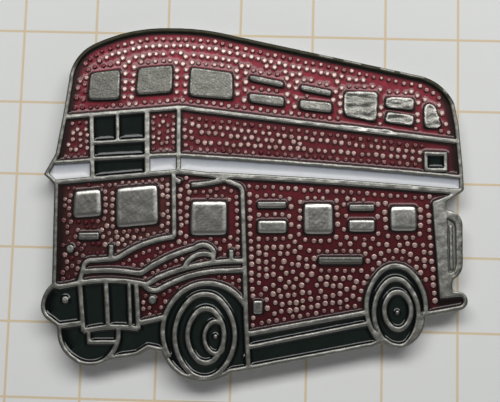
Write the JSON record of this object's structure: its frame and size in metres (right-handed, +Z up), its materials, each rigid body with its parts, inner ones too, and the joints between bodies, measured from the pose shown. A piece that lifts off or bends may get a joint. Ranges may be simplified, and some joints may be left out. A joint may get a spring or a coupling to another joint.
{
  "type": "double-decker bus lapel pin badge",
  "caption": "Die-cast soft-enamel lapel pin shaped as a vintage double-decker bus, with a soldered post and a sliding butterfly clutch behind it.",
  "frame": {"origin": "on the axis of the post, at the back face of the plate, where the lapel's cloth lies", "axes": "+Y along the post, away from the face and into the lapel; +Z up the bus; +X along the bus, to the right for someone who looks at the face"},
  "size_m": [0.0279, 0.0098, 0.0236],
  "materials": {
    "plated_zinc": "antique nickel plating, darkened in the recesses",
    "enamel_red": "deep red soft enamel over small raised metal beads",
    "enamel_black": "glossy black soft enamel",
    "enamel_white": "glossy white soft enamel",
    "post_steel": "drawn steel, plated with the plate",
    "clutch_brass": "nickel-plated pressed brass"
  },
  "bodies": {
    "badge": {"base_plate": "plated_zinc", "post": "post_steel", "enamel_black_blind_1": "enamel_black", "enamel_black_blind_2": "enamel_black", "enamel_black_blind_3": "enamel_black", "enamel_black_blind_4": "enamel_black", "enamel_black_chassis": "enamel_black", "enamel_black_far_wheel": "enamel_black", "enamel_black_far_wing": "enamel_black", "enamel_black_front_arch": "enamel_black", "enamel_black_front_hub": "enamel_black", "enamel_black_front_rim": "enamel_black", "enamel_black_front_tyre": "enamel_black", "enamel_black_number_plate": "enamel_black", "enamel_black_radiator_1": "enamel_black", "enamel_black_radiator_2": "enamel_black", "enamel_black_radiator_3": "enamel_black", "enamel_black_rear_arch": "enamel_black", "enamel_black_rear_frame": "enamel_black", "enamel_black_rear_rim": "enamel_black", "enamel_black_rear_tyre": "enamel_black", "enamel_black_skirt_lower": "enamel_black", "enamel_black_skirt_upper": "enamel_black", "enamel_red_bonnet_side": "enamel_red", "enamel_red_cab": "enamel_red", "enamel_red_front_wing": "enamel_red", "enamel_red_lower_front": "enamel_red", "enamel_red_lower_side": "enamel_red", "enamel_red_roof": "enamel_red", "enamel_red_upper_corner": "enamel_red", "enamel_red_upper_front": "enamel_red", "enamel_red_upper_side": "enamel_red", "enamel_red_wing_edge": "enamel_red", "enamel_red_wing_inside": "enamel_red", "enamel_white_band_corner": "enamel_white", "enamel_white_band_front": "enamel_white", "enamel_white_band_side": "enamel_white"},
    "clutch": {"clutch_disc": "clutch_brass", "clutch_cap": "clutch_brass", "clutch_spring": "clutch_brass"}
  },
  "joints": [
    {"name": "clutch_slide", "type": "slide", "parent": "badge", "child": "clutch", "axis": [0, 1, 0], "range_m": [-0.0007, 0.0078]}
  ]
}
